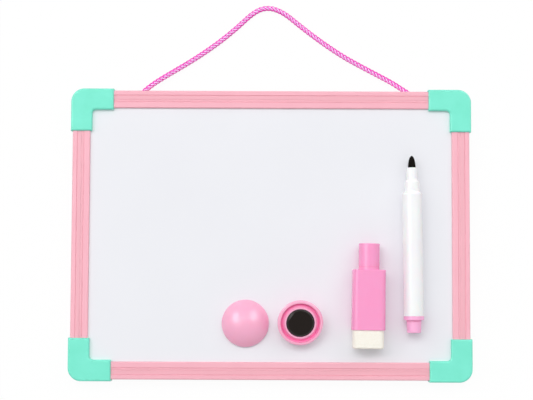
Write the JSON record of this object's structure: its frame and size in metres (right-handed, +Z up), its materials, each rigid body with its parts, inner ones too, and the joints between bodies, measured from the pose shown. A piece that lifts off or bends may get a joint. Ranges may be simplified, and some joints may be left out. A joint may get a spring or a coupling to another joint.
{
  "type": "mini whiteboard",
  "caption": "Small framed magnetic whiteboard with a hanging cord, round magnets, an uncapped marker and its cap with a felt eraser, lying on its back.",
  "frame": {"origin": "on the table under the middle of the board, level with the backs of the corner caps", "axes": "+X to the right along the board's width, +Y towards the hanging cord, +Z up out of the writing face"},
  "size_m": [0.26, 0.246, 0.0229],
  "materials": {
    "rail": "satin",
    "corner": "gloss",
    "sheet": "gloss",
    "core": "matte",
    "backing": "matte",
    "cord": "matte",
    "magnet_shell": "gloss",
    "ferrite": "satin",
    "marker_white": "gloss",
    "ink_felt": "matte",
    "wick": "matte",
    "cap_plastic": "satin",
    "felt": "matte"
  },
  "bodies": {
    "board": {"rail_top": "rail", "rail_bottom": "rail", "rail_left": "rail", "rail_right": "rail", "corner_top_left": "corner", "corner_top_right": "corner", "corner_bottom_left": "corner", "corner_bottom_right": "corner", "writing_sheet": "sheet", "core_board": "core", "back_sheet": "backing", "hanging_cord": "cord", "cord_knot_left": "cord", "cord_knot_right": "cord"},
    "magnet_up": {"magnet_up_dome": "magnet_shell", "magnet_up_disc": "ferrite"},
    "magnet_down": {"magnet_down_dome": "magnet_shell", "magnet_down_disc": "ferrite"},
    "marker": {"marker_barrel": "marker_white", "marker_nib": "ink_felt", "marker_reservoir": "wick", "marker_end_plug": "cap_plastic"},
    "eraser_cap": {"cap_tube": "cap_plastic", "cap_body": "cap_plastic", "cap_magnet": "ferrite", "cap_felt": "felt"}
  },
  "joints": [
    {"name": "magnet_up_lift", "type": "slide", "parent": "board", "child": "magnet_up", "axis": [0, 0, 1], "range_m": [0, 0.05]},
    {"name": "magnet_down_lift", "type": "slide", "parent": "board", "child": "magnet_down", "axis": [0, 0, 1], "range_m": [0, 0.05]},
    {"name": "marker_lift", "type": "slide", "parent": "board", "child": "marker", "axis": [0, 0, 1], "range_m": [0, 0.08]},
    {"name": "eraser_cap_lift", "type": "slide", "parent": "board", "child": "eraser_cap", "axis": [0, 0, 1], "range_m": [0, 0.07]}
  ]
}
